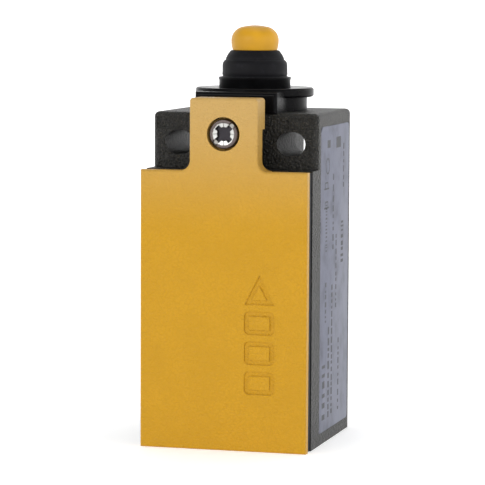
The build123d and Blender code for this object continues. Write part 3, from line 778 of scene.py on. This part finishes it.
def build_coil(name, node, body, wire, turns, joint=None):
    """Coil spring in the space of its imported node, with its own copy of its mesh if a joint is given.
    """
    low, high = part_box(node)
    coil_radius = (high.x - low.x) / 2 - wire / 2
    height = high.z - low.z - wire
    wire_sides = 10
    steps_per_turn = 28
    steps = int(turns * steps_per_turn)
    builder = bmesh.new()
    upright = Matrix.Rotation(math.pi / 2, 4, "X")
    start = Matrix.Translation((coil_radius, AXIS_Y, low.z + wire / 2)) @ upright
    section = bmesh.ops.create_circle(
        builder, cap_ends=True, segments=wire_sides, radius=wire / 2, matrix=start
    )["verts"]
    bmesh.ops.spin(
        builder,
        geom=section + list(builder.edges) + list(builder.faces),
        cent=(0, AXIS_Y, 0),
        dvec=(0, 0, height / steps),
        axis=(0, 0, 1),
        angle=2 * math.pi * turns,
        steps=steps,
        use_merge=False,
    )
    piece = make_piece(name, builder, "spring_steel", body)
    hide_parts(node)
    if joint:
        flattens_to(piece)


# ------------------------------------------------------------------ studio
LIGHT_TARGET = (0, 0, 0.04)
# name, place, side of the square, power
LIGHTS = (
    ("key_light", (-0.32, -0.92, 0.42), 0.45, 2.4),
    ("side_light", (0.95, -0.15, 0.35), 0.8, 1.5),
    ("top_light", (0.05, 0.25, 1.0), 0.8, 2.6),
)
AMBIENT = 0.26
FLOOR_REACH = 3.0
FLOOR_BEND = 1.2
FLOOR_WALL = 2.2
FLOOR_STEPS = 96
FLOOR_WELD = 1e-6
CAMERA_PLACE = (0.13153, -0.47463, 0.08278)
CAMERA_YAW, CAMERA_PITCH, CAMERA_ROLL = (math.radians(turn) for turn in (15.60, 5.41, 0.27))
CAMERA_LENS = 198.8
CAMERA_SENSOR = 36.0
CAMERA_CLIP = (0.05, 20.0)


def build_floor():
    """Pale floor that curves up into a wall far behind."""
    flat = FLOOR_REACH - FLOOR_BEND
    bends = [math.radians(degrees) for degrees in range(9, 91, 9)]
    outline = [
        (0.0, 0.0),
        (flat, 0.0),
        *((flat + FLOOR_BEND * math.sin(a), FLOOR_BEND - FLOOR_BEND * math.cos(a)) for a in bends),
        (FLOOR_REACH, FLOOR_WALL),
    ]
    builder = bmesh.new()
    points = [builder.verts.new((radius, 0, height)) for radius, height in outline]
    edges = [builder.edges.new(pair) for pair in zip(points, points[1:])]
    bmesh.ops.spin(
        builder,
        geom=points + edges,
        cent=(0, 0, 0),
        axis=(0, 0, 1),
        angle=2 * math.pi,
        steps=FLOOR_STEPS,
        use_merge=True,
    )
    bmesh.ops.remove_doubles(builder, verts=builder.verts, dist=FLOOR_WELD)
    bmesh.ops.recalc_face_normals(builder, faces=builder.faces)
    bmesh.ops.reverse_faces(builder, faces=builder.faces)
    mesh = bpy.data.meshes.new("studio_floor")
    builder.to_mesh(mesh)
    builder.free()
    mesh.shade_smooth()
    studio_paper("studio_paper")
    mesh.materials.append(FINISHES["studio_paper"])
    floor = bpy.data.objects.new("studio_floor", mesh)
    bpy.context.scene.collection.objects.link(floor)


def build_lights():
    """Three large soft lights and a pale surround."""
    for name, place, size, power in LIGHTS:
        light = bpy.data.lights.new(name, "AREA")
        light.shape = "SQUARE"
        light.size = size
        light.energy = power
        holder = bpy.data.objects.new(name, light)
        holder.location = place
        aim = Vector(LIGHT_TARGET) - holder.location
        holder.rotation_euler = aim.to_track_quat("-Z", "Y").to_euler()
        bpy.context.scene.collection.objects.link(holder)
    world = bpy.data.worlds.new("studio_world")
    world.use_nodes = True
    background = world.node_tree.nodes["Background"]
    background.inputs["Color"].default_value = grey(1.0)
    background.inputs["Strength"].default_value = AMBIENT
    bpy.context.scene.world = world
    bpy.context.scene.view_settings.view_transform = "Standard"


def build_camera():
    """Long lens, a little above the cover and to its right."""
    camera = bpy.data.cameras.new("studio_camera")
    camera.sensor_width = CAMERA_SENSOR
    camera.lens = CAMERA_LENS
    camera.clip_start, camera.clip_end = CAMERA_CLIP
    holder = bpy.data.objects.new("studio_camera", camera)
    heading = Matrix.Rotation(CAMERA_YAW, 4, "Z")
    tilt = Matrix.Rotation(math.pi / 2 - CAMERA_PITCH, 4, "X")
    roll = Matrix.Rotation(CAMERA_ROLL, 4, "Z")
    holder.matrix_world = Matrix.Translation(CAMERA_PLACE) @ heading @ tilt @ roll
    bpy.context.scene.collection.objects.link(holder)
    bpy.context.scene.camera = holder


# ------------------------------------------------------------------ operators
class SWITCH_OT_finishes(bpy.types.Operator):
    """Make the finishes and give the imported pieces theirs"""

    bl_idname = "switch.finishes"
    bl_label = "Finishes"

    def execute(self, context):
        make_finishes()
        finish_frame_nodes()
        return {"FINISHED"}


class SWITCH_OT_boot(bpy.types.Operator):
    """Build the rubber boot and the ring that holds it"""

    bl_idname = "switch.boot"
    bl_label = "Boot and ring"

    def execute(self, context):
        build_boot()
        build_boot_ring()
        return {"FINISHED"}


class SWITCH_OT_plunger(bpy.types.Operator):
    """Build the rounded plunger"""

    bl_idname = "switch.plunger"
    bl_label = "Plunger"

    def execute(self, context):
        build_plunger_cap()
        return {"FINISHED"}


class SWITCH_OT_screw(bpy.types.Operator):
    """Build the screw that holds the cover"""

    bl_idname = "switch.screw"
    bl_label = "Cover screw"

    def execute(self, context):
        build_cover_screw()
        return {"FINISHED"}


class SWITCH_OT_nameplate(bpy.types.Operator):
    """Build the nameplate and its generic print"""

    bl_idname = "switch.nameplate"
    bl_label = "Nameplate"

    def execute(self, context):
        build_nameplate()
        build_nameplate_print()
        return {"FINISHED"}


class SWITCH_OT_springs(bpy.types.Operator):
    """Build the return spring and the two contact springs"""

    bl_idname = "switch.springs"
    bl_label = "Springs"

    def execute(self, context):
        joint = "plunger_slide"
        build_coil("return_coil", "return_spring", CASE, RETURN_WIRE, RETURN_TURNS, joint)
        for level in ("upper", "lower"):
            node = f"contact_spring_{level}"
            build_coil(f"contact_coil_{level}", node, BRIDGES, CONTACT_WIRE, CONTACT_TURNS)
        return {"FINISHED"}


class SWITCH_OT_stage(bpy.types.Operator):
    """Build the floor, the lights and the camera"""

    bl_idname = "switch.stage"
    bl_label = "Studio"

    def execute(self, context):
        build_floor()
        build_lights()
        build_camera()
        return {"FINISHED"}


class SWITCH_PT_panel(bpy.types.Panel):
    """Lists the build steps in the sidebar"""

    bl_idname = "SWITCH_PT_panel"
    bl_label = "Limit switch"
    bl_space_type = "VIEW_3D"
    bl_region_type = "UI"
    bl_category = "Switch"

    def draw(self, context):
        column = self.layout.column()
        for operator in OPERATORS:
            column.operator(operator.bl_idname)
        for group in (colors(), sizes()):
            for key in group.bl_rna.properties.keys():
                if key not in {"rna_type", "name"}:
                    column.prop(group, key)


OPERATORS = (
    SWITCH_OT_finishes,
    SWITCH_OT_boot,
    SWITCH_OT_plunger,
    SWITCH_OT_screw,
    SWITCH_OT_nameplate,
    SWITCH_OT_springs,
    SWITCH_OT_stage,
)
CLASSES = (FinishColors, PieceSizes, *OPERATORS, SWITCH_PT_panel)


def register():
    """Registers the classes and hangs the settings on the scene."""
    for item in CLASSES:
        bpy.utils.register_class(item)
    bpy.types.Scene.switch_colors = bpy.props.PointerProperty(type=FinishColors)
    bpy.types.Scene.switch_sizes = bpy.props.PointerProperty(type=PieceSizes)


def unregister():
    """Removes the settings and the classes."""
    del bpy.types.Scene.switch_sizes
    del bpy.types.Scene.switch_colors
    for item in reversed(CLASSES):
        bpy.utils.unregister_class(item)


def main():
    """Builds everything in order."""
    register()
    bpy.ops.switch.finishes()
    bpy.ops.switch.boot()
    bpy.ops.switch.plunger()
    bpy.ops.switch.screw()
    bpy.ops.switch.nameplate()
    bpy.ops.switch.springs()
    bpy.ops.switch.stage()


if __name__ == "__main__":
    main()
